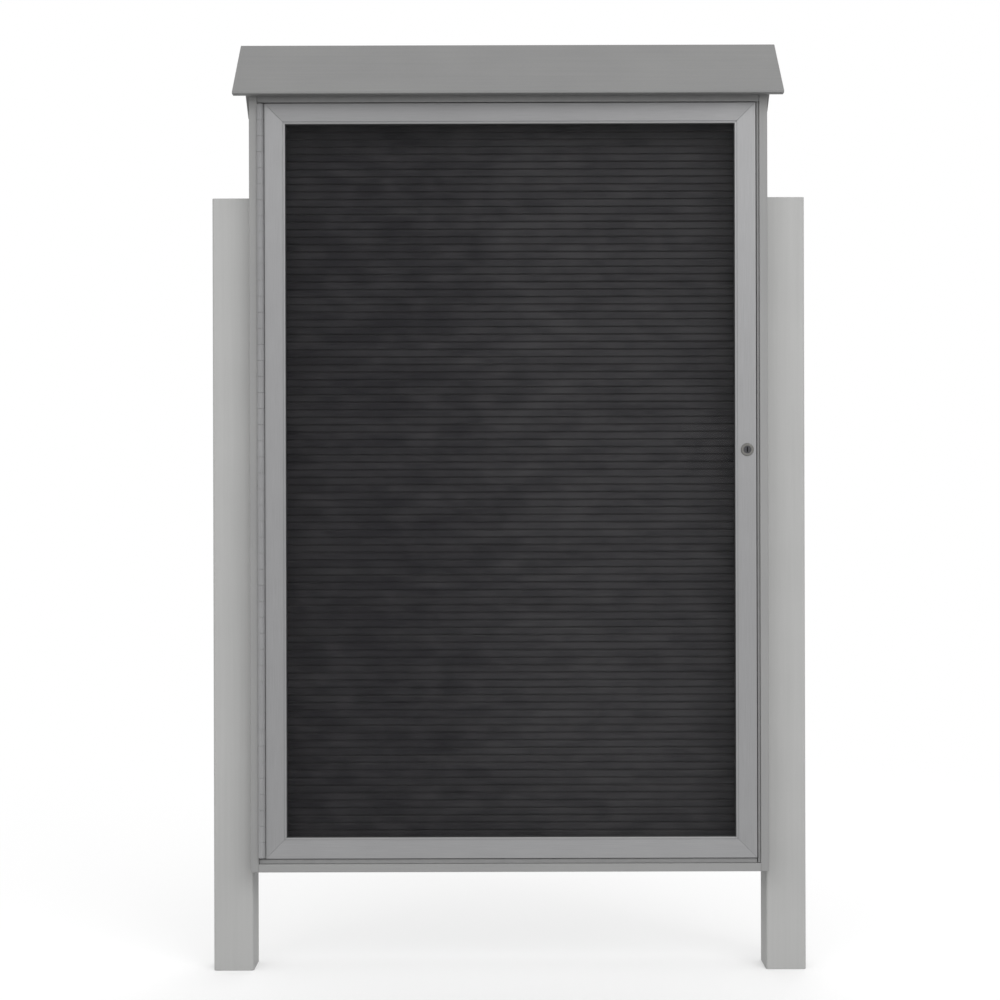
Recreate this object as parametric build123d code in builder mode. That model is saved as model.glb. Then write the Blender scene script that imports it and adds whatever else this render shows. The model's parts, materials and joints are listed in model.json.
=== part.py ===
from build123d import *
from math import cos, radians, sin, tan
import os

os.makedirs("parts", exist_ok=True)

# Driving dimensions, in millimetres and degrees. +X is the viewer's right, the door faces -Y.

# Posts: square plastic lumber, cut flat at both ends
post_side = 63.5
post_height = 1226.0
post_edge_radius = 4.0

# Case: a box of flat boards hung between the posts
case_width = 812.8
case_depth = 140.0
case_lift = 163.0
side_front_height = 1232.0
board_thickness = 12.7
board_edge_radius = 0.8
panel_thickness = 6.0
panel_rabbet = 8.0

# Roof: two boards mitred at the ridge
roof_slope = 42.3
roof_thickness = 12.7
eave_overhang = 35.0
end_overhang = 21.5
eave_nose = 4.0
eave_nose_radius = 1.6

# Roof fixings: a bent angle under the ridge and a bracket at each corner
angle_thickness = 1.5
ridge_leg = 22.0
ridge_end_gap = 40.0
bracket_leg = 14.0
bracket_length = 22.0
bracket_gap = 2.5

# Letter board, held by its edges in grooves of the case boards
letter_setback = 58.0
letter_thickness = 10.0
letter_groove_depth = 5.0
letter_fit = 0.3
rule_pitch = 12.0
rule_mouth = 3.8
rule_width = 1.8
rule_depth = 4.0
rule_round = 1.4

# Door: mitred hollow bars around a glazed opening
door_depth = 22.0
door_wall = 2.0
door_lip = 9.5
front_lip = 4.0
rear_lip = 2.5
face_radius = 1.2
lip_radius = 1.2
bead_width = 1.2
bead_depth = 0.8
bead_inset = 3.4
lock_side_gap = 5.5
door_foot_gap = 8.5
door_head_gap = 7.0
key_leg = 45.0
pane_thickness = 3.0
pane_clearance = 1.0
gasket_wall = 1.5
gasket_proud = 0.8
strip_joint_gap = 0.2

# Stops and seal behind the edge of the door
stop_overlap = 4.0
seal_thickness = 4.0
seal_gap = 0.2

# Continuous hinge
knuckle_radius = 5.0
knuckle_clearance = 0.35
knuckle_gap = 0.4
knuckle_target = 140.0
pin_radius = 2.5
pin_fit = 0.05
pin_proud = 2.0
leaf_thickness = 1.5
leaf_width = 16.0
hinge_end_gap = 2.0

# Lock in the right-hand stile
lock_height = 640.0
lock_body_radius = 7.25
lock_hole_fit = 0.15
flange_radius = 10.0
flange_thickness = 2.5
flange_chamfer = 0.8
plug_radius = 6.0
plug_fit = 0.05
plug_recess = 0.4
tang_side = 6.0
tang_fit = 0.05
keyway_width = 1.6
keyway_height = 7.5
keyway_depth = 12.0
nut_flats = 19.0
nut_thickness = 5.0
nut_gap = 1.0
cam_thickness = 2.5
cam_width = 11.0
cam_hub_radius = 7.5
cam_clearance = 0.4
cam_running_gap = 0.3
cam_end_gap = 2.0
cam_screw_radius = 1.5
cam_screw_length = 9.0
cam_head_radius = 4.2
cam_head_height = 2.2
strike_thickness = 1.5
strike_height = 60.0
strike_margin = 0.5

# Lag screws, from inside the case into the posts
lag_radius = 4.0
lag_fit = 0.05
lag_bite = 42.0
lag_flange_radius = 9.0
lag_flange_thickness = 1.6
lag_head_radius = 7.5
lag_head_height = 7.0
lag_rows = 2
lag_y = 15.0

# Stations worked out from the driving dimensions
front_y = -case_depth / 2
back_y = case_depth / 2
panel_front_y = back_y - panel_thickness
outer_x = case_width / 2
inner_x = outer_x - board_thickness
floor_z = case_lift + board_thickness
side_top_z = case_lift + side_front_height

slope = radians(roof_slope)
rise = tan(slope)
peak_z = side_top_z + back_y * rise
ridge_z = peak_z + roof_thickness / cos(slope)
eave_y = back_y + eave_overhang
eave_top_z = ridge_z - eave_y * rise
eave_z = eave_top_z - eave_nose
roof_length = case_width + 2 * end_overhang

hinge_gap = 2 * (knuckle_radius + knuckle_clearance)
door_left_x = -inner_x + hinge_gap
door_right_x = inner_x - lock_side_gap
door_bottom_z = floor_z + door_foot_gap
door_top_z = eave_z - door_head_gap
door_rear_y = front_y + door_depth
door_width = door_right_x - door_left_x
door_height = door_top_z - door_bottom_z
door_mid_x = (door_left_x + door_right_x) / 2
door_mid_z = (door_bottom_z + door_top_z) / 2
ceiling_z = door_top_z - stop_overlap

lock_inset = stop_overlap + nut_flats / 2 + nut_gap
tube_width = lock_inset + lock_body_radius + lock_hole_fit + door_wall
door_face = tube_width + door_lip
slot_width = pane_thickness + 2 * gasket_wall
slot_y = front_y + front_lip

stop_front_y = door_rear_y + seal_thickness
stop_rear_y = stop_front_y + board_thickness
stop_mid_y = (stop_front_y + stop_rear_y) / 2
left_stop_width = hinge_gap + stop_overlap
right_stop_width = lock_side_gap + stop_overlap
bottom_stop_height = door_foot_gap + stop_overlap

letter_front_y = front_y + letter_setback
letter_mid_y = letter_front_y + letter_thickness / 2
letter_slot = letter_thickness + 2 * letter_fit

lock_x = door_right_x - lock_inset
lock_z = door_bottom_z + lock_height
strike_rear_y = stop_rear_y + strike_thickness
cam_front_y = strike_rear_y + cam_clearance
cam_rear_y = cam_front_y + cam_thickness

hinge_bottom_z = door_bottom_z + hinge_end_gap
hinge_length = door_top_z - door_bottom_z - 2 * hinge_end_gap
pin_x = -inner_x + hinge_gap / 2
pin_y = front_y - pin_proud
leaf_start_y = pin_y + knuckle_radius + 2 * knuckle_clearance
leaf_mid_y = leaf_start_y + leaf_width / 2

lag_length = board_thickness + lag_bite
ridge_half = inner_x - ridge_end_gap
bracket_y = -stop_rear_y - bracket_gap - bracket_length / 2 * cos(slope)


def save(builder, name):
    """Label a finished piece and write it to its own file."""
    builder.part.label = name
    export_step(builder.part, f"parts/{name}.step")


def spread(start, end, count):
    """Middles of equal spans between two ends."""
    span = (end - start) / count
    return [start + span * (i + 0.5) for i in range(count)]


def underside_z(y):
    """Height of the roof boards' underside at a depth."""
    return peak_z - abs(y) * rise


def roof_plane(face):
    """Underside of the front (-1) or rear (1) roof board, facing up and out."""
    return Plane(origin=(0, 0, peak_z), x_dir=(1, 0, 0), z_dir=(0, face * sin(slope), cos(slope)))


def under_roof(face, x, y):
    """Plane on the underside of a roof board, facing down into the case."""
    down = (0, -face * sin(slope), -cos(slope))
    return Plane(origin=(x, face * y, underside_z(y)), x_dir=(1, 0, 0), z_dir=down)


def lag_spots(side):
    """Planes under the lag screws' heads inside one side board, facing the middle of the case."""
    heights = spread(case_lift, post_height, lag_rows)
    return [Plane(origin=(side * inner_x, lag_y, z), z_dir=(-side, 0, 0)) for z in heights]


def lag_holes(side):
    """Holes for the lag screws of one post, through the side board and into the post."""
    with Locations(*lag_spots(side)):
        Hole(lag_radius + lag_fit, lag_length + lag_fit)


# Posts


def post(side):
    """One post beside the case, with blind holes for its lag screws."""
    with BuildPart() as timber:
        with BuildSketch():
            with Locations((side * (outer_x + post_side / 2), 0)):
                RectangleRounded(post_side, post_side, post_edge_radius)
        extrude(amount=post_height)
        lag_holes(side)
    return timber


save(post(-1), "left_post")
save(post(1), "right_post")

with BuildPart() as post_lag_screws:
    for side in (-1, 1):
        with BuildSketch(*lag_spots(side)):
            Circle(lag_flange_radius)
        extrude(amount=lag_flange_thickness)
        with BuildSketch(*lag_spots(side)):
            RegularPolygon(lag_head_radius, 6)
        extrude(amount=lag_head_height)
        with BuildSketch(*lag_spots(side)):
            Circle(lag_radius)
        extrude(amount=-lag_length)
save(post_lag_screws, "post_lag_screws")

# Case boards


def side_board(side):
    """Gabled side board with a groove for the letter board and a rabbet for the back panel."""
    with BuildPart() as board:
        with BuildSketch(Plane.XY.offset(case_lift)):
            with Locations((side * (inner_x + outer_x) / 2, 0)):
                Rectangle(board_thickness, case_depth)
            fillet(vertices().sort_by(Axis.Y)[:2], board_edge_radius)
            fillet(vertices().group_by(Axis.Y)[-1].sort_by(Axis.X, reverse=side > 0)[0], board_edge_radius)
            with Locations((side * (inner_x + letter_groove_depth / 2), letter_mid_y)):
                Rectangle(letter_groove_depth, letter_slot, mode=Mode.SUBTRACT)
            with Locations((side * (inner_x + panel_rabbet / 2), back_y - panel_thickness / 2)):
                Rectangle(panel_rabbet, panel_thickness, mode=Mode.SUBTRACT)
        extrude(amount=peak_z - case_lift)
        for face in (-1, 1):
            split(bisect_by=roof_plane(face), keep=Keep.BOTTOM)
        lag_holes(side)
    return board


save(side_board(-1), "left_side_board")
save(side_board(1), "right_side_board")

with BuildPart() as bottom_board:
    with BuildSketch(Plane.YZ.offset(-inner_x)):
        with Locations(((front_y + panel_front_y) / 2, (case_lift + floor_z) / 2)):
            Rectangle(panel_front_y - front_y, board_thickness)
        fillet(vertices().sort_by(Axis.X)[:2], board_edge_radius)
        with Locations((letter_mid_y, floor_z - letter_groove_depth / 2)):
            Rectangle(letter_slot, letter_groove_depth, mode=Mode.SUBTRACT)
    extrude(amount=2 * inner_x)
save(bottom_board, "bottom_board")

with BuildPart() as top_board:
    with BuildSketch(Plane.YZ.offset(-inner_x)):
        with Locations(((stop_rear_y + panel_front_y) / 2, ceiling_z + board_thickness / 2)):
            Rectangle(panel_front_y - stop_rear_y, board_thickness)
        with Locations((letter_mid_y, ceiling_z + letter_groove_depth / 2)):
            Rectangle(letter_slot, letter_groove_depth, mode=Mode.SUBTRACT)
    extrude(amount=2 * inner_x)
save(top_board, "top_board")

with BuildPart() as header_board:
    with BuildSketch(Plane.XY.offset(ceiling_z)):
        with Locations((0, stop_mid_y)):
            Rectangle(2 * inner_x, board_thickness)
    extrude(amount=peak_z - ceiling_z)
    split(bisect_by=roof_plane(-1), keep=Keep.BOTTOM)
save(header_board, "header_board")

with BuildPart() as back_panel:
    with BuildSketch(Plane.XY.offset(case_lift)):
        with Locations((0, (panel_front_y + back_y) / 2)):
            Rectangle(2 * (inner_x + panel_rabbet), panel_thickness)
    extrude(amount=peak_z - case_lift)
    split(bisect_by=roof_plane(1), keep=Keep.BOTTOM)
save(back_panel, "back_panel")

# Roof


def roof_board(face):
    """One sloping board, mitred upright at the ridge, with a blunt nose and a level cut at the eave."""
    level_y = (peak_z - eave_z) / rise
    with BuildPart() as board:
        with BuildSketch(Plane.YZ.offset(-roof_length / 2)):
            with BuildLine():
                Polyline(
                    (0, peak_z),
                    (face * level_y, eave_z),
                    (face * eave_y, eave_z),
                    (face * eave_y, eave_top_z),
                    (0, ridge_z),
                    close=True,
                )
            make_face()
            fillet(vertices().sort_by(Axis.X, reverse=face > 0)[:2], eave_nose_radius)
        extrude(amount=roof_length)
    return board


save(roof_board(-1), "front_roof_board")
save(roof_board(1), "rear_roof_board")

with BuildPart() as ridge_angle:
    with BuildSketch(Plane.YZ.offset(-ridge_half)):
        foot_y = ridge_leg * cos(slope)
        foot_z = peak_z - ridge_leg * sin(slope)
        inner_y = foot_y - angle_thickness * sin(slope)
        inner_z = foot_z - angle_thickness * cos(slope)
        with BuildLine():
            Polyline(
                (0, peak_z),
                (foot_y, foot_z),
                (inner_y, inner_z),
                (0, peak_z - angle_thickness / cos(slope)),
                (-inner_y, inner_z),
                (-foot_y, foot_z),
                close=True,
            )
        make_face()
    extrude(amount=2 * ridge_half)
save(ridge_angle, "ridge_angle")

with BuildPart() as roof_brackets:
    for face in (-1, 1):
        for side, edge in ((-1, Align.MIN), (1, Align.MAX)):
            with Locations(under_roof(face, side * inner_x, bracket_y)):
                Box(bracket_leg, bracket_length, angle_thickness, align=(edge, Align.CENTER, Align.MIN))
                Box(angle_thickness, bracket_length, bracket_leg, align=(edge, Align.CENTER, Align.MIN))
save(roof_brackets, "roof_brackets")

# Letter board: horizontal slots for the tongues of push-in letters

letter_bottom_z = floor_z - letter_groove_depth
letter_height = ceiling_z + letter_groove_depth - letter_fit - letter_bottom_z
letter_width = 2 * (inner_x + letter_groove_depth - letter_fit)
rule_count = int((ceiling_z - floor_z) / rule_pitch)

with BuildPart() as letter_board:
    with BuildSketch(Plane.YZ.offset(-letter_width / 2)):
        with Locations((letter_mid_y, letter_bottom_z + letter_height / 2)):
            Rectangle(letter_thickness, letter_height)
        with Locations((letter_front_y, (floor_z + ceiling_z) / 2)):
            with GridLocations(1, rule_pitch, 1, rule_count):
                Polygon(
                    (0, -rule_mouth / 2),
                    (rule_round, -rule_width / 2),
                    (rule_depth, -rule_width / 2),
                    (rule_depth, rule_width / 2),
                    (rule_round, rule_width / 2),
                    (0, rule_mouth / 2),
                    align=None,
                    mode=Mode.SUBTRACT,
                )
    extrude(amount=letter_width)
save(letter_board, "letter_board")

# Door stops and seal


def side_stop(side):
    """Upright strip on a side board that the door closes against."""
    width = left_stop_width if side < 0 else right_stop_width
    with BuildPart() as stop:
        with BuildSketch(Plane.XY.offset(floor_z)):
            with Locations((side * (inner_x - width / 2), stop_mid_y)):
                Rectangle(width, board_thickness)
        extrude(amount=ceiling_z - floor_z)
    return stop


save(side_stop(-1), "left_door_stop")
save(side_stop(1), "right_door_stop")

with BuildPart() as bottom_door_stop:
    with BuildSketch(Plane.XY.offset(floor_z)):
        with Locations(((left_stop_width - right_stop_width) / 2, stop_mid_y)):
            Rectangle(2 * inner_x - left_stop_width - right_stop_width, board_thickness)
    extrude(amount=bottom_stop_height)
save(bottom_door_stop, "bottom_door_stop")

with BuildPart() as door_seal:
    with BuildSketch(Plane.XZ.offset(-stop_front_y)):
        with Locations((door_mid_x, door_mid_z)):
            with GridLocations(door_width - stop_overlap, 1, 2, 1):
                Rectangle(stop_overlap, door_height)
            with GridLocations(1, door_height - stop_overlap, 1, 2):
                Rectangle(door_width - 2 * (stop_overlap + strip_joint_gap), stop_overlap)
    extrude(amount=seal_thickness - seal_gap)
save(door_seal, "door_seal")

# Door frame: hollow bars with a slot for the glazing, mitred at the corners


def frame_section():
    """Bar section: inward is local X, depth from the front is local Y."""
    slot_end = front_lip + slot_width
    Polygon(
        (0, 0),
        (door_face, 0),
        (door_face, front_lip),
        (tube_width, front_lip),
        (tube_width, slot_end),
        (door_face, slot_end),
        (door_face, slot_end + rear_lip),
        (tube_width, slot_end + rear_lip),
        (tube_width, door_depth),
        (0, door_depth),
        align=None,
    )
    front = vertices().group_by(Axis.Y)[0].sort_by(Axis.X)
    fillet(front[0], face_radius)
    fillet(vertices().group_by(Axis.Y)[0].sort_by(Axis.X)[-1], lip_radius)
    with Locations((tube_width / 2, door_depth / 2)):
        Rectangle(tube_width - 2 * door_wall, door_depth - 2 * door_wall, mode=Mode.SUBTRACT)
    with Locations((door_face - bead_inset, bead_depth / 2)):
        Rectangle(bead_width, bead_depth, mode=Mode.SUBTRACT)


def gasket_section():
    """Channel section that lines the glazing slot."""
    with Locations((tube_width, front_lip)):
        Rectangle(door_lip + gasket_proud, slot_width, align=(Align.MIN, Align.MIN))
    with Locations((tube_width + gasket_wall, front_lip + gasket_wall)):
        Rectangle(door_lip + gasket_proud, pane_thickness, align=(Align.MIN, Align.MIN), mode=Mode.SUBTRACT)


# Outer corner, inward direction, run direction and length of each side of the door
door_sides = {
    "hinge_stile": ((door_left_x, front_y, door_bottom_z), (1, 0, 0), (0, 0, 1), door_height),
    "top_rail": ((door_left_x, front_y, door_top_z), (0, 0, -1), (1, 0, 0), door_width),
    "lock_stile": ((door_right_x, front_y, door_top_z), (-1, 0, 0), (0, 0, -1), door_height),
    "bottom_rail": ((door_right_x, front_y, door_bottom_z), (0, 0, 1), (-1, 0, 0), door_width),
}


def mitred_bar(side, section, joint_gap=0):
    """Section run along one side of the door and cut at 45 degrees at both ends."""
    corner, inward, run, length = side
    start = Vector(*corner)
    along = Vector(*run)
    across = Vector(*inward)
    ends = ((start, along - across), (start + along * length, -along - across))
    with BuildPart() as bar:
        with BuildSketch(Plane(origin=corner, x_dir=inward, z_dir=run)):
            section()
        extrude(amount=length)
        for origin, kept in ends:
            split(bisect_by=Plane(origin=origin, z_dir=kept).offset(joint_gap / 2), keep=Keep.TOP)
    return bar


for name in ("hinge_stile", "top_rail", "bottom_rail"):
    save(mitred_bar(door_sides[name], frame_section), f"door_{name}")

lock_face = Plane(origin=(lock_x, front_y, lock_z), x_dir=(1, 0, 0), z_dir=(0, -1, 0))

with BuildPart() as door_lock_stile:
    add(mitred_bar(door_sides["lock_stile"], frame_section).part)
    with Locations(lock_face):
        Hole(lock_body_radius + lock_hole_fit, door_depth)
save(door_lock_stile, "door_lock_stile")

gasket_strips = [mitred_bar(side, gasket_section, strip_joint_gap) for side in door_sides.values()]

with BuildPart() as glazing_gasket:
    add([strip.part for strip in gasket_strips])
save(glazing_gasket, "glazing_gasket")

with BuildPart() as door_pane:
    edge = tube_width + gasket_wall + pane_clearance
    with BuildSketch(Plane.XZ.offset(-(slot_y + gasket_wall))):
        with Locations((door_mid_x, door_mid_z)):
            Rectangle(door_width - 2 * edge, door_height - 2 * edge)
    extrude(amount=-pane_thickness)
save(door_pane, "door_pane")

with BuildPart() as corner_keys:
    with BuildSketch(Plane.XZ.offset(-(front_y + door_wall))):
        for x, inward in ((door_left_x, 1), (door_right_x, -1)):
            for z, up in ((door_bottom_z, 1), (door_top_z, -1)):
                with Locations((x, z)):
                    near = door_wall
                    far = tube_width - door_wall
                    Polygon(
                        (inward * near, up * near),
                        (inward * key_leg, up * near),
                        (inward * key_leg, up * far),
                        (inward * far, up * far),
                        (inward * far, up * key_leg),
                        (inward * near, up * key_leg),
                        align=None,
                    )
    extrude(amount=-(door_depth - 2 * door_wall))
save(corner_keys, "corner_keys")

# Continuous hinge: two leaves with alternate knuckles on one long pin

knuckle_count = 2 * round(hinge_length / knuckle_target / 2) + 1
knuckle_pitch = hinge_length / knuckle_count
knuckle_length = knuckle_pitch - knuckle_gap


def hinge_leaf(side, first, bore_radius):
    """Leaf on the case (-1) or the door (1) side of the pin, with every second knuckle."""
    leaf_x = pin_x + side * (hinge_gap - leaf_thickness) / 2
    starts = [hinge_bottom_z + knuckle_pitch * i + knuckle_gap / 2 for i in range(first, knuckle_count, 2)]
    with BuildPart() as leaf:
        with BuildSketch(Plane.XY.offset(hinge_bottom_z)):
            with Locations((leaf_x, leaf_mid_y)):
                Rectangle(leaf_thickness, leaf_width)
        extrude(amount=hinge_length)
        with BuildSketch(*[Plane.XY.offset(z) for z in starts]):
            with Locations((pin_x, pin_y)):
                Circle(knuckle_radius)
            with Locations((leaf_x, pin_y)):
                Rectangle(leaf_thickness, leaf_start_y - pin_y, align=(Align.CENTER, Align.MIN))
            with Locations((pin_x, pin_y)):
                Circle(bore_radius, mode=Mode.SUBTRACT)
        extrude(amount=knuckle_length)
    return leaf


save(hinge_leaf(-1, 0, pin_radius), "hinge_case_leaf")
save(hinge_leaf(1, 1, pin_radius + pin_fit), "hinge_door_leaf")

with BuildPart() as hinge_pin:
    with BuildSketch(Plane.XY.offset(hinge_bottom_z)):
        with Locations((pin_x, pin_y)):
            Circle(pin_radius)
    extrude(amount=hinge_length)
save(hinge_pin, "hinge_pin")

# Lock: a flanged housing through the stile, a turning plug and its cam

body_length = cam_front_y - cam_running_gap - front_y

with BuildPart() as lock_housing:
    with BuildSketch(lock_face):
        Circle(flange_radius)
    extrude(amount=flange_thickness)
    chamfer(edges().group_by(Axis.Y)[0], flange_chamfer)
    with BuildSketch(lock_face):
        Circle(lock_body_radius)
    extrude(amount=-body_length)
    with Locations(lock_face.offset(flange_thickness)):
        Hole(plug_radius + plug_fit, flange_thickness + body_length)
save(lock_housing, "lock_housing")

with BuildPart() as lock_nut:
    with BuildSketch(lock_face.offset(-door_depth)):
        RegularPolygon(nut_flats / 2, 6, major_radius=False, rotation=30)
        Circle(lock_body_radius, mode=Mode.SUBTRACT)
    extrude(amount=-nut_thickness)
save(lock_nut, "lock_nut")

plug_front = lock_face.offset(flange_thickness - plug_recess)

with BuildPart() as lock_plug:
    with BuildSketch(plug_front):
        Circle(plug_radius)
    extrude(amount=-(cam_front_y - plug_front.origin.Y))
    with BuildSketch(lock_face.offset(front_y - cam_front_y)):
        Rectangle(tang_side, tang_side)
    extrude(amount=-cam_thickness)
    with BuildSketch(plug_front):
        Rectangle(keyway_width, keyway_height)
    extrude(amount=-keyway_depth, mode=Mode.SUBTRACT)
    with Locations(Plane(origin=(lock_x, cam_rear_y, lock_z), z_dir=(0, 1, 0))):
        Hole(cam_screw_radius, cam_screw_length)
save(lock_plug, "lock_plug")

cam_reach = lock_inset + lock_side_gap - cam_end_gap

with BuildPart() as lock_cam:
    with BuildSketch(lock_face.offset(front_y - cam_front_y)):
        Circle(cam_hub_radius)
        Rectangle(cam_width, cam_reach, align=(Align.CENTER, Align.MAX))
        fillet(vertices().group_by(Axis.Y)[0], cam_width / 4)
        Rectangle(tang_side + 2 * tang_fit, tang_side + 2 * tang_fit, mode=Mode.SUBTRACT)
    extrude(amount=-cam_thickness)
save(lock_cam, "lock_cam")

with BuildPart() as cam_screw:
    with BuildSketch(lock_face.offset(front_y - cam_rear_y)):
        Circle(cam_head_radius)
    extrude(amount=-cam_head_height)
    with BuildSketch(lock_face.offset(front_y - cam_rear_y)):
        Circle(cam_screw_radius)
    extrude(amount=cam_screw_length)
save(cam_screw, "cam_screw")

with BuildPart() as strike_plate:
    with BuildSketch(Plane.XZ.offset(-stop_rear_y)):
        with Locations((inner_x - right_stop_width / 2, lock_z)):
            Rectangle(right_stop_width - 2 * strike_margin, strike_height)
    extrude(amount=-strike_thickness)
save(strike_plate, "strike_plate")
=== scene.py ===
import json
from math import pi, radians

import bmesh
import bpy
from mathutils import Matrix, Vector

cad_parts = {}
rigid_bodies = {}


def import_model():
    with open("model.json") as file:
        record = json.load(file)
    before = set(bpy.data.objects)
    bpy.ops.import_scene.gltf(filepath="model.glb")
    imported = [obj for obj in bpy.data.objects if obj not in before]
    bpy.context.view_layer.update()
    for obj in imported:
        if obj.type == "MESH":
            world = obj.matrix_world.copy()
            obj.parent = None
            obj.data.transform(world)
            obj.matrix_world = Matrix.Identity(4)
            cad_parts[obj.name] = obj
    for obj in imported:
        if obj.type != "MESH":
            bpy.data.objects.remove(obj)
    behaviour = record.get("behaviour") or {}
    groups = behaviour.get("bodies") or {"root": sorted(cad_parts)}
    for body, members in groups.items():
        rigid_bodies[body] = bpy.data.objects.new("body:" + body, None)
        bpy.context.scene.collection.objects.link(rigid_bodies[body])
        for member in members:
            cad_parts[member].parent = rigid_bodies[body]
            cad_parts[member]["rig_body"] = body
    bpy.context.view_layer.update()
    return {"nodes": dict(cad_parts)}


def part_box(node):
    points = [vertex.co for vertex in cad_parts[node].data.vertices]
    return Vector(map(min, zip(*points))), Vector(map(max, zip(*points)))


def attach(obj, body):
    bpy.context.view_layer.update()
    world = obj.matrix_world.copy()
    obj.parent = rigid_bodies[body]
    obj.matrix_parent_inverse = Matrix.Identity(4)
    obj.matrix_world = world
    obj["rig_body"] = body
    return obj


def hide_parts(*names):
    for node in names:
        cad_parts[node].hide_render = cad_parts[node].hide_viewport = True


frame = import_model()
nodes = frame["nodes"]

MM = 0.001
X, Y, Z = Vector((1, 0, 0)), Vector((0, 1, 0)), Vector((0, 0, 1))
ALONG_X, ALONG_Z = 0, 2
WHITE = (1.0, 1.0, 1.0, 1.0)


# Materials


def srgb(hex_text):
    """Linear colour of an sRGB hex value."""
    channels = [int(hex_text[i:i + 2], 16) / 255 for i in (1, 3, 5)]
    return (*[c / 12.92 if c <= 0.04045 else ((c + 0.055) / 1.055) ** 2.4 for c in channels], 1.0)


def put(owner, kind, inputs=None, **settings):
    """Add a node with its settings. Each input is a plain value or another node's output."""
    node = owner.node_tree.nodes.new(kind)
    for key, value in settings.items():
        setattr(node, key, value)
    for key, value in (inputs or {}).items():
        if isinstance(value, bpy.types.NodeSocket):
            owner.node_tree.links.new(value, node.inputs[key])
        else:
            node.inputs[key].default_value = value
    return node


def blank(name):
    """A material with no nodes yet."""
    material = bpy.data.materials.new(name)
    material.use_nodes = True
    material.node_tree.nodes.clear()
    return material


def plastic_lumber(name, tone, pale_tone, run):
    """Recycled polyethylene lumber, extruded along one axis. Soft streaks and pale flecks run with
    the board under a satin pebbled skin, and a cut end is paler, duller and ridged by the saw."""
    streak_width, streak_length = 5 * MM, 260 * MM
    cloud_size = 140 * MM
    # Skin pebbles are about 0.7 mm on the real board; this is the finest that shows
    pebble_size = 1.6 * MM
    saw_pitch = 3 * MM
    # A Wave texture's bands lie this far apart at a scale of 1
    wave_period = 0.314
    # A face whose normal lies this nearly along the board is a cut end
    end_on_limit = 0.93
    end_paler, end_duller = 0.2, 0.2
    streak_relief, saw_relief = 0.25, 0.8

    material = blank(name)
    place = put(material, "ShaderNodeTexCoord")
    own = place.outputs["Object"]
    stretch = [1 / streak_width] * 3
    stretch[run] = 1 / streak_length
    along = put(material, "ShaderNodeMapping", {"Vector": own, "Scale": stretch})
    streaks = put(material, "ShaderNodeTexNoise",
                  {"Vector": along.outputs[0], "Scale": 1.0, "Detail": 4.0, "Roughness": 0.62})
    clouds = put(material, "ShaderNodeTexNoise",
                 {"Vector": own, "Scale": 1 / cloud_size, "Detail": 2.0})
    pebbles = put(material, "ShaderNodeTexNoise",
                  {"Vector": own, "Scale": 1 / pebble_size, "Detail": 2.0})
    both = put(material, "ShaderNodeMath", {0: streaks.outputs[0], 1: clouds.outputs[0]},
               operation="ADD")
    tint = put(material, "ShaderNodeMapRange",
               {"Value": both.outputs[0], "From Min": 0.7, "From Max": 1.35,
                "To Min": 0.0, "To Max": 0.75})
    normal = put(material, "ShaderNodeSeparateXYZ", {0: place.outputs["Normal"]})
    end_on = put(material, "ShaderNodeMath", {0: normal.outputs[run]}, operation="ABSOLUTE")
    cut = put(material, "ShaderNodeMath", {0: end_on.outputs[0], 1: end_on_limit},
              operation="GREATER_THAN")
    shade = put(material, "ShaderNodeMath",
                {0: cut.outputs[0], 1: end_paler, 2: tint.outputs[0]}, operation="MULTIPLY_ADD")
    colour = put(material, "ShaderNodeMix",
                 {0: shade.outputs[0], 6: srgb(tone), 7: srgb(pale_tone)}, data_type="RGBA")
    tilt = put(material, "ShaderNodeMapping", {"Vector": own, "Rotation": (0.5, 0.5, 0.5)})
    ridges = put(material, "ShaderNodeTexWave",
                 {"Vector": tilt.outputs[0], "Scale": wave_period / saw_pitch,
                  "Distortion": 1.5, "Detail": 2.0})
    sawn = put(material, "ShaderNodeMath", {0: ridges.outputs[1], 1: cut.outputs[0]},
               operation="MULTIPLY")
    skin = put(material, "ShaderNodeMath",
               {0: streaks.outputs[0], 1: streak_relief, 2: pebbles.outputs[0]},
               operation="MULTIPLY_ADD")
    height = put(material, "ShaderNodeMath",
                 {0: sawn.outputs[0], 1: saw_relief, 2: skin.outputs[0]},
                 operation="MULTIPLY_ADD")
    bump = put(material, "ShaderNodeBump",
               {"Height": height.outputs[0], "Strength": 0.2, "Distance": 0.25 * MM})
    worn = put(material, "ShaderNodeMapRange",
               {"Value": pebbles.outputs[0], "From Min": 0.3, "From Max": 0.7,
                "To Min": 0.5, "To Max": 0.64})
    dull = put(material, "ShaderNodeMath",
               {0: cut.outputs[0], 1: end_duller, 2: worn.outputs[0]}, operation="MULTIPLY_ADD")
    surface = put(material, "ShaderNodeBsdfPrincipled",
                  {"Base Color": colour.outputs[2], "Roughness": dull.outputs[0], "IOR": 1.5,
                   "Normal": bump.outputs[0]})
    put(material, "ShaderNodeOutputMaterial", {0: surface.outputs[0]})
    return material


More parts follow.
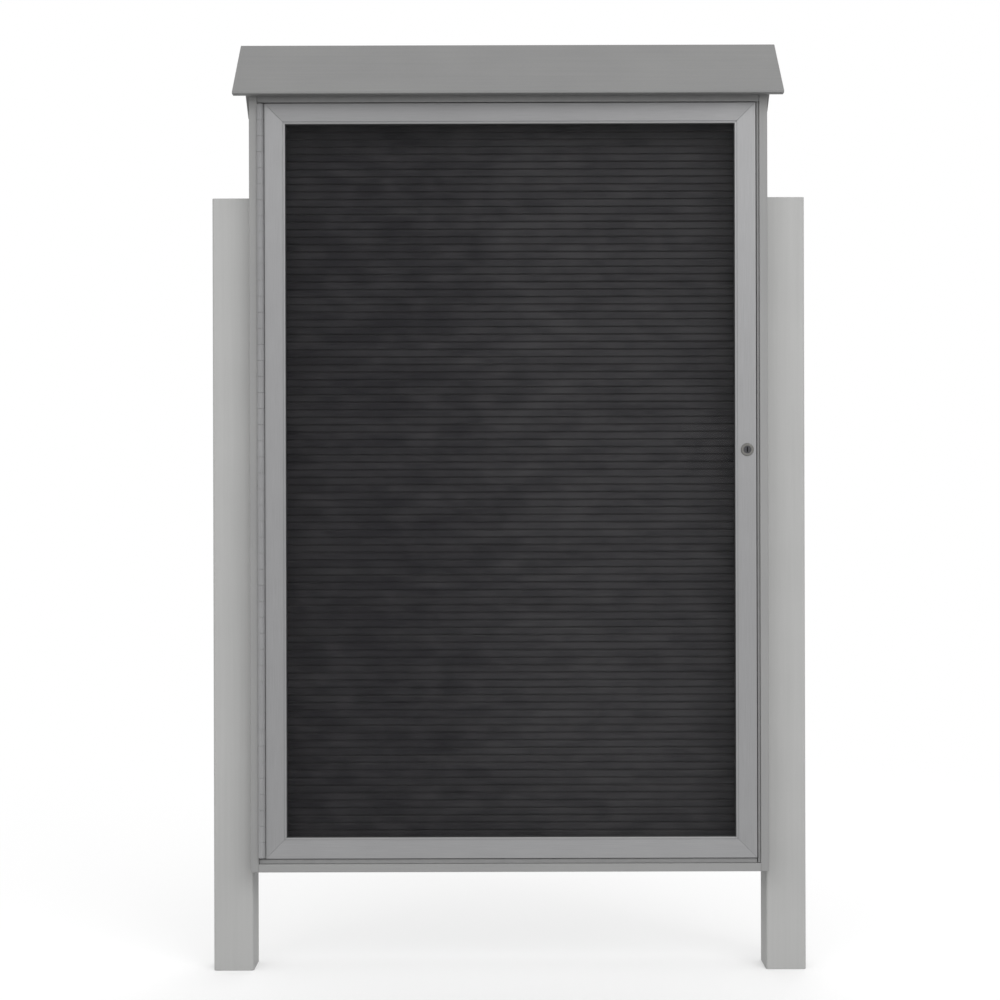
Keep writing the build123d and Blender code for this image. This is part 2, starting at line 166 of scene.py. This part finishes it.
def drawn_metal(name, tone, bright_tone, roughness, run, line):
    """Metal with fine lines left by the die or the brush along one axis. The lines, of a width
    given in millimetres, break its sheen into streaks."""
    line_stretch = 90
    cloud_size = 60 * MM
    cloud_share = 0.25
    least, most = 0.35, 0.9
    roughness_spread = 0.04

    material = blank(name)
    own = put(material, "ShaderNodeTexCoord").outputs["Object"]
    stretch = [1 / (line * MM)] * 3
    stretch[run] = 1 / (line * line_stretch * MM)
    along = put(material, "ShaderNodeMapping", {"Vector": own, "Scale": stretch})
    lines = put(material, "ShaderNodeTexNoise",
                {"Vector": along.outputs[0], "Scale": 1.0, "Detail": 3.0, "Roughness": 0.7})
    clouds = put(material, "ShaderNodeTexNoise",
                 {"Vector": own, "Scale": 1 / cloud_size, "Detail": 3.0})
    both = put(material, "ShaderNodeMath",
               {0: clouds.outputs[0], 1: cloud_share, 2: lines.outputs[0]},
               operation="MULTIPLY_ADD")
    tint = put(material, "ShaderNodeMapRange",
               {"Value": both.outputs[0], "From Min": least, "From Max": most})
    colour = put(material, "ShaderNodeMix",
                 {0: tint.outputs[0], 6: srgb(tone), 7: srgb(bright_tone)}, data_type="RGBA")
    sheen = put(material, "ShaderNodeMapRange",
                {"Value": both.outputs[0], "From Min": least, "From Max": most,
                 "To Min": roughness + roughness_spread, "To Max": roughness - roughness_spread})
    bump = put(material, "ShaderNodeBump",
               {"Height": lines.outputs[0], "Strength": 0.1, "Distance": 0.05 * MM})
    surface = put(material, "ShaderNodeBsdfPrincipled",
                  {"Base Color": colour.outputs[2], "Metallic": 1.0,
                   "Roughness": sheen.outputs[0], "Normal": bump.outputs[0]})
    put(material, "ShaderNodeOutputMaterial", {0: surface.outputs[0]})
    return material


def black_felt():
    """Black felt pressed over a slotted core: a dull pile with a soft sheen, brushed into faint
    lighter patches. Its right-hand half is painted a little paler, a painted reflection."""
    patch_sizes = (45, 20, 22)
    # Wool fibres are 0.02 mm; tufts of this size are the finest that show
    tuft_size = 1.2 * MM
    tuft_share = 0.6

    material = blank("black_felt")
    own = put(material, "ShaderNodeTexCoord").outputs["Object"]
    brushed = put(material, "ShaderNodeMapping",
                  {"Vector": own, "Scale": [1 / (size * MM) for size in patch_sizes]})
    patches = put(material, "ShaderNodeTexNoise",
                  {"Vector": brushed.outputs[0], "Scale": 1.0, "Detail": 4.0, "Roughness": 0.6})
    tufts = put(material, "ShaderNodeTexNoise",
                {"Vector": own, "Scale": 1 / tuft_size, "Detail": 3.0})
    both = put(material, "ShaderNodeMath",
               {0: tufts.outputs[0], 1: tuft_share, 2: patches.outputs[0]},
               operation="MULTIPLY_ADD")
    tint = put(material, "ShaderNodeMapRange",
               {"Value": both.outputs[0], "From Min": 0.55, "From Max": 1.05})
    # Painted reflection: the right-hand half is painted a little paler, standing in for a brighter
    # reflection there
    across = put(material, "ShaderNodeSeparateXYZ", {0: own})
    right_half_painted_reflection = put(material, "ShaderNodeMapRange",
               {"Value": across.outputs[0], "From Min": -200 * MM, "From Max": 120 * MM,
                "To Min": -0.27, "To Max": 0.22}, interpolation_type="SMOOTHSTEP")
    nap_and_painted_reflection = put(material, "ShaderNodeMath", {0: tint.outputs[0], 1: right_half_painted_reflection.outputs[0]},
              operation="ADD")
    colour = put(material, "ShaderNodeMix",
                 {0: nap_and_painted_reflection.outputs[0], 6: srgb("#1D1C20"), 7: srgb("#3A393B")}, data_type="RGBA")
    bump = put(material, "ShaderNodeBump",
               {"Height": tufts.outputs[0], "Strength": 0.25, "Distance": 0.2 * MM})
    surface = put(material, "ShaderNodeBsdfPrincipled",
                  {"Base Color": colour.outputs[2], "Roughness": 0.95,
                   "Specular IOR Level": 0.15, "Sheen Weight": 0.04, "Sheen Roughness": 0.6,
                   "Normal": bump.outputs[0]})
    put(material, "ShaderNodeOutputMaterial", {0: surface.outputs[0]})
    return material


def clear_acrylic():
    """Clear acrylic sheet with a coat against glare: the board shows plainly under a faint painted
    reflection, a thin white diffuse layer that stands in for the room's reflection seen face on,
    and a mirror of the room grows as the sheet is seen aslant. It is thin, so it bends nothing
    that shows."""
    # Share of the painted reflection: a white diffuse layer over the board stands in for the
    # room's reflection seen face on
    painted_reflection_share = 0.005
    mirror_power, mirror_at_edge = 5.0, 0.6

    material = blank("clear_acrylic_sheet")
    clear = put(material, "ShaderNodeBsdfTransparent", {"Color": srgb("#F8F8F8")})
    mirror = put(material, "ShaderNodeBsdfGlossy", {"Color": WHITE, "Roughness": 0.0})
    aslant = put(material, "ShaderNodeLayerWeight", {"Blend": 0.5})
    rise = put(material, "ShaderNodeMath", {0: aslant.outputs["Facing"], 1: mirror_power},
               operation="POWER")
    veil = put(material, "ShaderNodeMath", {0: rise.outputs[0], 1: mirror_at_edge},
               operation="MULTIPLY")
    # Painted reflection: a faint white diffuse layer mixed over the clear sheet
    painted_reflection_layer = put(material, "ShaderNodeBsdfDiffuse", {"Color": srgb("#F8F8F8")})
    clear_under_painted_reflection = put(material, "ShaderNodeMixShader",
               {0: painted_reflection_share, 1: clear.outputs[0], 2: painted_reflection_layer.outputs[0]})
    pane = put(material, "ShaderNodeMixShader",
               {0: veil.outputs[0], 1: clear_under_painted_reflection.outputs[0], 2: mirror.outputs[0]})
    put(material, "ShaderNodeOutputMaterial", {0: pane.outputs[0]})
    return material


def soft_rubber(name, tone, bloom_tone):
    """Extruded rubber or vinyl: dull, with a paler bloom in patches."""
    bloom_size, grain_size = 14 * MM, 0.9 * MM

    material = blank(name)
    own = put(material, "ShaderNodeTexCoord").outputs["Object"]
    bloom = put(material, "ShaderNodeTexNoise",
                {"Vector": own, "Scale": 1 / bloom_size, "Detail": 4.0})
    grain = put(material, "ShaderNodeTexNoise",
                {"Vector": own, "Scale": 1 / grain_size, "Detail": 2.0})
    colour = put(material, "ShaderNodeMix",
                 {0: bloom.outputs[0], 6: srgb(tone), 7: srgb(bloom_tone)}, data_type="RGBA")
    bump = put(material, "ShaderNodeBump",
               {"Height": grain.outputs[0], "Strength": 0.25, "Distance": 0.15 * MM})
    surface = put(material, "ShaderNodeBsdfPrincipled",
                  {"Base Color": colour.outputs[2], "Roughness": 0.78, "IOR": 1.52,
                   "Normal": bump.outputs[0]})
    put(material, "ShaderNodeOutputMaterial", {0: surface.outputs[0]})
    return material


post_lumber = plastic_lumber("post_lumber", "#A7A7A6", "#AFAFAE", run=ALONG_Z)
upright_board = plastic_lumber("upright_board", "#888888", "#919190", run=ALONG_Z)
level_board = plastic_lumber("level_board", "#8C8C8C", "#959594", run=ALONG_X)
# The roof boards are the same lumber painted darker: painted shade for the weaker light on their
# upward slope
roof_lumber_painted_shade = plastic_lumber("roof_lumber_painted_shade", "#787878", "#818180", run=ALONG_X)
stile_aluminium = drawn_metal("anodised_stile", "#8E8E8F", "#99999A",
                              roughness=0.46, run=ALONG_Z, line=0.7)
# The top rail is the same anodised aluminium painted darker: painted shade from the eave over it
rail_aluminium_painted_shade = drawn_metal("anodised_rail_painted_shade", "#848485", "#8F8F90",
                             roughness=0.46, run=ALONG_X, line=0.7)
# The bottom rail is the same anodised aluminium painted paler: a painted reflection of the white
# floor below it
sill_aluminium_painted_reflection = drawn_metal("anodised_sill_painted_reflection", "#929293", "#9D9D9E",
                             roughness=0.46, run=ALONG_X, line=0.7)
hinge_steel = drawn_metal("rolled_hinge_steel", "#A2A2A3", "#AEAEAF",
                          roughness=0.8, run=ALONG_Z, line=0.5)
screw_steel = drawn_metal("zinc_plated_steel", "#86878A", "#A2A3A6",
                          roughness=0.33, run=ALONG_X, line=0.5)
lock_nickel = drawn_metal("satin_nickel", "#6A6967", "#7E7D7A",
                          roughness=0.3, run=ALONG_X, line=0.4)
lock_dark = drawn_metal("blackened_plug", "#404042", "#545456",
                        roughness=0.4, run=ALONG_X, line=0.4)
felt = black_felt()
acrylic = clear_acrylic()
rubber = soft_rubber("black_rubber", "#161616", "#2E2E2F")
grey_vinyl = soft_rubber("grey_vinyl", "#7E7E7E", "#8C8C8C")


# Making and placing pieces


def piece(name, bm, material, body):
    """Make a mesh a named piece that rides on a body. Its flats stay flat beside rounded edges."""
    crease = radians(50)
    for face in bm.faces:
        face.smooth = True
    for edge in bm.edges:
        edge.smooth = edge.is_manifold and edge.calc_face_angle() < crease
    mesh = bpy.data.meshes.new(name)
    bm.to_mesh(mesh)
    bm.free()
    mesh.materials.append(material)
    obj = bpy.data.objects.new(name, mesh)
    bpy.context.scene.collection.objects.link(obj)
    weighted = obj.modifiers.new("flat_faces", "WEIGHTED_NORMAL")
    weighted.keep_sharp = True
    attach(obj, body)
    return obj


def ease_edges(bm, ease, segments=2):
    """Round the outward edges, as a router, a die or sandpaper leaves them."""
    least_angle = radians(28)
    sharp = [e for e in bm.edges if e.is_manifold and e.calc_face_angle_signed() > least_angle]
    bmesh.ops.bevel(bm, geom=sharp, offset=ease * MM, offset_type="OFFSET", affect="EDGES",
                    segments=segments, profile=0.5, material=-1, clamp_overlap=False)


def eased(node, material, ease):
    """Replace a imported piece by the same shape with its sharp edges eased."""
    merge_distance, flat_angle = 0.01 * MM, radians(0.5)
    bm = bmesh.new()
    bm.from_mesh(nodes[node].data)
    bmesh.ops.remove_doubles(bm, verts=bm.verts, dist=merge_distance)
    bmesh.ops.dissolve_limit(bm, angle_limit=flat_angle, verts=bm.verts, edges=bm.edges)
    ease_edges(bm, ease)
    obj = piece(node + "_eased", bm, material, nodes[node]["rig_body"])
    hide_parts(node)


def dress(node, material):
    """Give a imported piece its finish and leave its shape."""
    nodes[node].data.materials.clear()
    nodes[node].data.materials.append(material)


def repeat(shape, places):
    """One mesh with a shape at each place, given as matrices."""
    bm = bmesh.new()
    for place in places:
        first = len(bm.verts)
        bm.from_mesh(shape)
        bm.verts.ensure_lookup_table()
        bmesh.ops.transform(bm, matrix=place, verts=bm.verts[first:])
    return bm


def shape_mesh(name, bm):
    """Keep a small shape for repeating."""
    bmesh.ops.recalc_face_normals(bm, faces=bm.faces)
    mesh = bpy.data.meshes.new(name)
    bm.to_mesh(mesh)
    bm.free()
    return mesh


def facing(point, outward):
    """Place at a point in millimetres, with the shape's up turned outward."""
    turn = outward.to_track_quat("Z", "Y").to_matrix().to_4x4()
    return Matrix.Translation(Vector(point) * MM) @ turn


def turned(outline, steps):
    """Surface of revolution from an outline of (radius, height) in millimetres, open at its two
    ends."""
    merge_distance = 0.001 * MM
    bm = bmesh.new()
    verts = [bm.verts.new((r * MM, 0, h * MM)) for r, h in outline]
    edges = [bm.edges.new(pair) for pair in zip(verts, verts[1:])]
    bmesh.ops.spin(bm, geom=verts + edges, axis=Z, cent=(0, 0, 0), angle=2 * pi, steps=steps,
                   use_merge=True)
    bmesh.ops.remove_doubles(bm, verts=bm.verts, dist=merge_distance)
    return bm


def box_between(bm, low, high):
    """Add a box between two corners in millimetres."""
    low, high = Vector(low) * MM, Vector(high) * MM
    size = high - low
    middle = Matrix.Translation((low + high) / 2)
    bmesh.ops.create_cube(bm, size=1, matrix=middle @ Matrix.Diagonal((*size, 1)))


def screw_head(radius, height):
    """Low domed screw head with a hexagon socket, sunk a little into what it holds."""
    sunk_by = 0.3
    dome = [(radius, -sunk_by), (radius, height * 0.3), (radius * 0.86, height * 0.72),
            (radius * 0.58, height)]
    near_top = height * 0.9
    socket_radius, socket_depth = radius * 0.42, height * 0.75
    bm = turned(dome, steps=24)
    rim = [e for e in bm.edges
           if e.is_boundary and min(v.co.z for v in e.verts) > near_top * MM]
    socket = bmesh.ops.create_circle(bm, segments=6, radius=socket_radius * MM,
                                     matrix=Matrix.Translation(Z * height * MM))
    mouth = list({e for v in socket["verts"] for e in v.link_edges})
    bmesh.ops.bridge_loops(bm, edges=rim + mouth)
    sunk = bmesh.ops.extrude_edge_only(bm, edges=mouth)["geom"]
    floor_verts = [g for g in sunk if isinstance(g, bmesh.types.BMVert)]
    bmesh.ops.translate(bm, verts=floor_verts, vec=-Z * socket_depth * MM)
    bmesh.ops.contextual_create(bm, geom=[g for g in sunk if isinstance(g, bmesh.types.BMEdge)])
    return shape_mesh("screw_head", bm)


# Boards, frame and lock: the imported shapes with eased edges

for node in ("left_post", "right_post"):
    eased(node, post_lumber, ease=0.9)
for node in ("left_side_board", "right_side_board", "left_door_stop", "right_door_stop",
             "back_panel"):
    eased(node, upright_board, ease=0.5)
for node in ("bottom_board", "top_board", "header_board", "bottom_door_stop"):
    eased(node, level_board, ease=0.5)
for node in ("front_roof_board", "rear_roof_board"):
    eased(node, roof_lumber_painted_shade, ease=0.5)
for node in ("door_hinge_stile", "door_lock_stile"):
    eased(node, stile_aluminium, ease=0.35)
eased("door_top_rail", rail_aluminium_painted_shade, ease=0.35)
eased("door_bottom_rail", sill_aluminium_painted_reflection, ease=0.35)
eased("letter_board", felt, ease=0.5)
eased("lock_housing", lock_nickel, ease=0.3)
eased("lock_nut", lock_nickel, ease=0.4)
eased("lock_cam", lock_nickel, ease=0.3)
eased("lock_plug", lock_dark, ease=0.15)
eased("strike_plate", screw_steel, ease=0.3)
eased("hinge_pin", hinge_steel, ease=0.6)

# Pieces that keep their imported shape

for node in ("post_lag_screws", "cam_screw", "ridge_angle", "roof_brackets"):
    dress(node, screw_steel)
for node in ("glazing_gasket", "door_seal"):
    dress(node, rubber)
dress("door_pane", acrylic)
dress("corner_keys", rail_aluminium_painted_shade)

# Continuous hinge: many short knuckles, alternately on the case leaf and the door leaf

pin_low, pin_high = (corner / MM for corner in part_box("hinge_pin"))
case_leaf_low, case_leaf_high = (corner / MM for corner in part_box("hinge_case_leaf"))
door_leaf_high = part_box("hinge_door_leaf")[1] / MM
pin_x, pin_y = (pin_low.x + pin_high.x) / 2, (pin_low.y + pin_high.y) / 2
pin_radius = (pin_high.x - pin_low.x) / 2
pin_length = pin_high.z - pin_low.z
leaf_thickness = 1.5
# The rolled barrel laps the corners of the gap by a little
barrel_lap = 0.6
knuckle_radius = pin_y - case_leaf_low.y + barrel_lap
knuckle_gap = 0.2
knuckle_chamfer = 0.25
knuckle_count = 47
knuckle_pitch = pin_length / knuckle_count
knuckle_half = (knuckle_pitch - knuckle_gap) / 2
# The plates start within the back of the barrel, and the tabs beside the pin
leaf_front_y = pin_y + knuckle_radius * 0.78
tab_front_y = pin_y + 1

chamfer_radius, chamfer_height = knuckle_radius - knuckle_chamfer, knuckle_half - knuckle_chamfer
knuckle = turned([(pin_radius, -knuckle_half), (chamfer_radius, -knuckle_half),
                  (knuckle_radius, -chamfer_height), (knuckle_radius, chamfer_height),
                  (chamfer_radius, knuckle_half), (pin_radius, knuckle_half)], steps=28)
knuckle_shape = shape_mesh("knuckle", knuckle)


def hinge_leaf(node, first, plate_x, body):
    """A leaf with every second knuckle, each joined to the plate by its own rolled tab."""
    middles = [pin_low.z + knuckle_pitch * (i + 0.5) for i in range(first, knuckle_count, 2)]
    places = [Matrix.Translation(Vector((pin_x, pin_y, z)) * MM) for z in middles]
    bm = repeat(knuckle_shape, places)
    plate = bmesh.new()
    far_x = plate_x + leaf_thickness
    box_between(plate, (plate_x, leaf_front_y, pin_low.z), (far_x, case_leaf_high.y, pin_high.z))
    for z in middles:
        box_between(plate, (plate_x, tab_front_y, z - knuckle_half),
                    (far_x, leaf_front_y, z + knuckle_half))
    ease_edges(plate, ease=0.2)
    bm.from_mesh(shape_mesh("hinge_plate", plate))
    obj = piece(node + "_rolled", bm, hinge_steel, body)
    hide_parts(node)


hinge_leaf("hinge_case_leaf", 0, case_leaf_low.x, "stand")
hinge_leaf("hinge_door_leaf", 1, door_leaf_high.x - leaf_thickness, "door")

# Small screws, as heads on the pieces they hold

case_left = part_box("left_side_board")[0] / MM
case_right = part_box("right_side_board")[1] / MM
bottom_low, bottom_high = (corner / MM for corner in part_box("bottom_board"))
top_low, top_high = (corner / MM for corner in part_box("top_board"))
header_low, header_high = (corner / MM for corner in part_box("header_board"))
panel_low, panel_high = (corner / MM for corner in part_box("back_panel"))
bottom_z, top_z = (bottom_low.z + bottom_high.z) / 2, (top_low.z + top_high.z) / 2
header_y = (header_low.y + header_high.y) / 2

board_head = screw_head(radius=4.2, height=1.7)
panel_head = screw_head(radius=4.0, height=1.5)
small_head = screw_head(radius=3.0, height=1.2)
leaf_head = screw_head(radius=2.8, height=0.9)

bottom_screw_ys = (-50, 50)
top_screw_ys = (top_low.y + 15, top_high.y - 13)
header_screw_zs = (header_low.z + 9, header_low.z + 34)
case_places = [(y, bottom_z) for y in bottom_screw_ys]
case_places += [(y, top_z) for y in top_screw_ys]
case_places += [(header_y, z) for z in header_screw_zs]
case_screws = [facing((case_left.x, y, z), -X) for y, z in case_places]
case_screws += [facing((case_right.x, y, z), X) for y, z in case_places]
piece("case_screws", repeat(board_head, case_screws), screw_steel, "stand")

panel_rows = 5
panel_inset = 4
panel_side_xs = (panel_low.x + panel_inset, panel_high.x - panel_inset)
panel_end_xs = (-262, 0, 262)
panel_zs = [bottom_z + (i + 0.5) * (top_z - bottom_z) / panel_rows for i in range(panel_rows)]
panel_places = [(x, z) for x in panel_side_xs for z in panel_zs]
panel_places += [(x, z) for x in panel_end_xs for z in (bottom_z, top_z)]
panel_screws = [facing((x, panel_high.y, z), Y) for x, z in panel_places]
piece("back_panel_screws", repeat(panel_head, panel_screws), screw_steel, "stand")

hinge_screw_count = 8
hinge_screw_inset = 40
door_screw_shift = 12
hinge_screw_y = (leaf_front_y + case_leaf_high.y) / 2
hinge_screw_span = pin_length - 2 * hinge_screw_inset
hinge_screw_zs = [pin_low.z + hinge_screw_inset + i * hinge_screw_span / (hinge_screw_count - 1)
                  for i in range(hinge_screw_count)]
case_hinge_x = case_leaf_low.x + leaf_thickness
door_hinge_x = door_leaf_high.x - leaf_thickness
case_hinge_screws = [facing((case_hinge_x, hinge_screw_y, z), X) for z in hinge_screw_zs]
piece("hinge_case_screws", repeat(leaf_head, case_hinge_screws),
      screw_steel, "stand")
door_hinge_screws = [facing((door_hinge_x, hinge_screw_y, z + door_screw_shift), -X)
                     for z in hinge_screw_zs[:-1]]
piece("hinge_door_screws", repeat(leaf_head, door_hinge_screws),
      screw_steel, "door")

left_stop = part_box("left_door_stop")[1] / MM
right_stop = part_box("right_door_stop")[0] / MM
bottom_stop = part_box("bottom_door_stop")[1] / MM
stop_zs = [bottom_z + rise for rise in (70, 400, 790, 1110)]
bottom_stop_xs = (-300, -100, 100, 300)
stop_screws = [facing((left_stop.x, header_y, z), X) for z in stop_zs]
stop_screws += [facing((right_stop.x, header_y, z), -X) for z in stop_zs]
stop_screws += [facing((x, header_y, bottom_stop.z), Z) for x in bottom_stop_xs]
piece("stop_screws", repeat(small_head, stop_screws), screw_steel, "stand")

strike_low, strike_high = (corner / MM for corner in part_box("strike_plate"))
strike_x, strike_z = (strike_low.x + strike_high.x) / 2, (strike_low.z + strike_high.z) / 2
strike_screw_rise = 22
strike_screws = [facing((strike_x, strike_high.y, strike_z + rise), Y)
                 for rise in (-strike_screw_rise, strike_screw_rise)]
piece("strike_screws", repeat(leaf_head, strike_screws), screw_steel, "stand")

# Vinyl weatherstrips that half close the gaps beside, under and over the door

door_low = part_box("door_bottom_rail")[0] / MM
door_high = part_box("door_lock_stile")[1] / MM
inner_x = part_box("right_side_board")[0].x / MM
# Each strip's front lies a little behind the door's face
side_front_y, sill_front_y, head_front_y = door_low.y + 3.5, door_low.y + 4, door_low.y + 0.8
strip_rear_y = door_low.y + 10
door_clearance = 1.2
side_top_z = door_high.z + 0.9
head_foot_z, head_top_z = door_high.z + 0.7, door_high.z + 14
strips = bmesh.new()
box_between(strips, (door_high.x + door_clearance, side_front_y, bottom_high.z),
            (inner_x, strip_rear_y, side_top_z))
box_between(strips, (-inner_x, sill_front_y, bottom_high.z),
            (door_high.x, strip_rear_y, door_low.z - door_clearance))
box_between(strips, (-inner_x, head_front_y, head_foot_z), (inner_x, header_low.y, head_top_z))
ease_edges(strips, ease=1.2, segments=3)
piece("gap_weatherstrips", strips, grey_vinyl, "stand")

# Floor, light and camera


def looked_at(owner):
    """Socket that is 1 for a ray from the camera, a mirror or glass, and 0 for one that only
    carries light."""
    path = put(owner, "ShaderNodeLightPath")
    direct = put(owner, "ShaderNodeMath",
                 {0: path.outputs["Is Camera Ray"], 1: path.outputs["Is Glossy Ray"]},
                 operation="MAXIMUM")
    seen = put(owner, "ShaderNodeMath",
               {0: direct.outputs[0], 1: path.outputs["Is Transmission Ray"]},
               operation="MAXIMUM")
    return seen.outputs[0]


floor_bm = bmesh.new()
bmesh.ops.create_grid(floor_bm, x_segments=1, y_segments=1, size=20)
floor_mesh = bpy.data.meshes.new("studio_floor")
floor_bm.to_mesh(floor_mesh)
floor_bm.free()
floor = bpy.data.objects.new("studio_floor", floor_mesh)
bpy.context.scene.collection.objects.link(floor)

# The floor keeps the object's shadow near it and fades to plain white further out
pale_floor = blank("pale_floor")
floor_place = put(pale_floor, "ShaderNodeTexCoord").outputs["Object"]
reach = put(pale_floor, "ShaderNodeVectorMath", {0: floor_place}, operation="LENGTH")
far = put(pale_floor, "ShaderNodeMapRange",
          {"Value": reach.outputs["Value"], "From Min": 0.3, "From Max": 2.6, "To Min": 0.3},
          interpolation_type="SMOOTHSTEP")
floor_seen = looked_at(pale_floor)
fade = put(pale_floor, "ShaderNodeMath", {0: far.outputs[0], 1: floor_seen}, operation="MULTIPLY")
pale = put(pale_floor, "ShaderNodeMix", {0: floor_seen, 6: srgb("#A4A4A4"), 7: srgb("#FCFCFC")},
           data_type="RGBA")
matte = put(pale_floor, "ShaderNodeBsdfDiffuse", {"Color": pale.outputs[2]})
glow = put(pale_floor, "ShaderNodeEmission", {"Color": WHITE, "Strength": 1.0})
blended = put(pale_floor, "ShaderNodeMixShader",
              {0: fade.outputs[0], 1: matte.outputs[0], 2: glow.outputs[0]})
put(pale_floor, "ShaderNodeOutputMaterial", {0: blended.outputs[0]})
floor_mesh.materials.append(pale_floor)

studio = bpy.data.worlds.new("studio")
bpy.context.scene.world = studio
studio.use_nodes = True
studio.node_tree.nodes.clear()
studio_seen = looked_at(studio)
ambient = put(studio, "ShaderNodeBackground", {"Color": WHITE, "Strength": 0.85})
backdrop = put(studio, "ShaderNodeBackground", {"Color": WHITE, "Strength": 1.0})
sky = put(studio, "ShaderNodeMixShader",
          {0: studio_seen, 1: ambient.outputs[0], 2: backdrop.outputs[0]})
put(studio, "ShaderNodeOutputWorld", {0: sky.outputs[0]})

# Name, place and size in metres, power in watts
lamps = (("key_softbox", (1.95, -3.4, 2.75), 2.2, 42),
         ("fill_softbox", (-1.95, -3.4, 2.65), 2.2, 21),
         ("front_softbox", (0.2, -4.2, 1.0), 1.6, 40),
         ("back_softbox", (0.6, 3.0, 2.6), 2.4, 26))
lamp_aim = Vector((0, 0, 0.75))
for name, spot, size, power in lamps:
    lamp = bpy.data.lights.new(name, "AREA")
    lamp.shape = "SQUARE"
    lamp.size = size
    lamp.energy = power
    light = bpy.data.objects.new(name, lamp)
    light.location = spot
    light.rotation_euler = (lamp_aim - Vector(spot)).to_track_quat("-Z", "Y").to_euler()
    bpy.context.scene.collection.objects.link(light)
    # The front lamp lights the boards and makes no glare on the pane and the metal
    light.visible_glossy = light.visible_transmission = name != "front_softbox"

lens = bpy.data.cameras.new("photo_camera")
lens.sensor_width = 36
lens.lens = 68.9
camera = bpy.data.objects.new("photo_camera", lens)
camera.location = (-0.0141, -3.07, 0.7461)
camera.rotation_euler = (radians(90), radians(0.15), 0)
bpy.context.scene.collection.objects.link(camera)
bpy.context.scene.camera = camera
bpy.context.scene.view_settings.view_transform = "Standard"
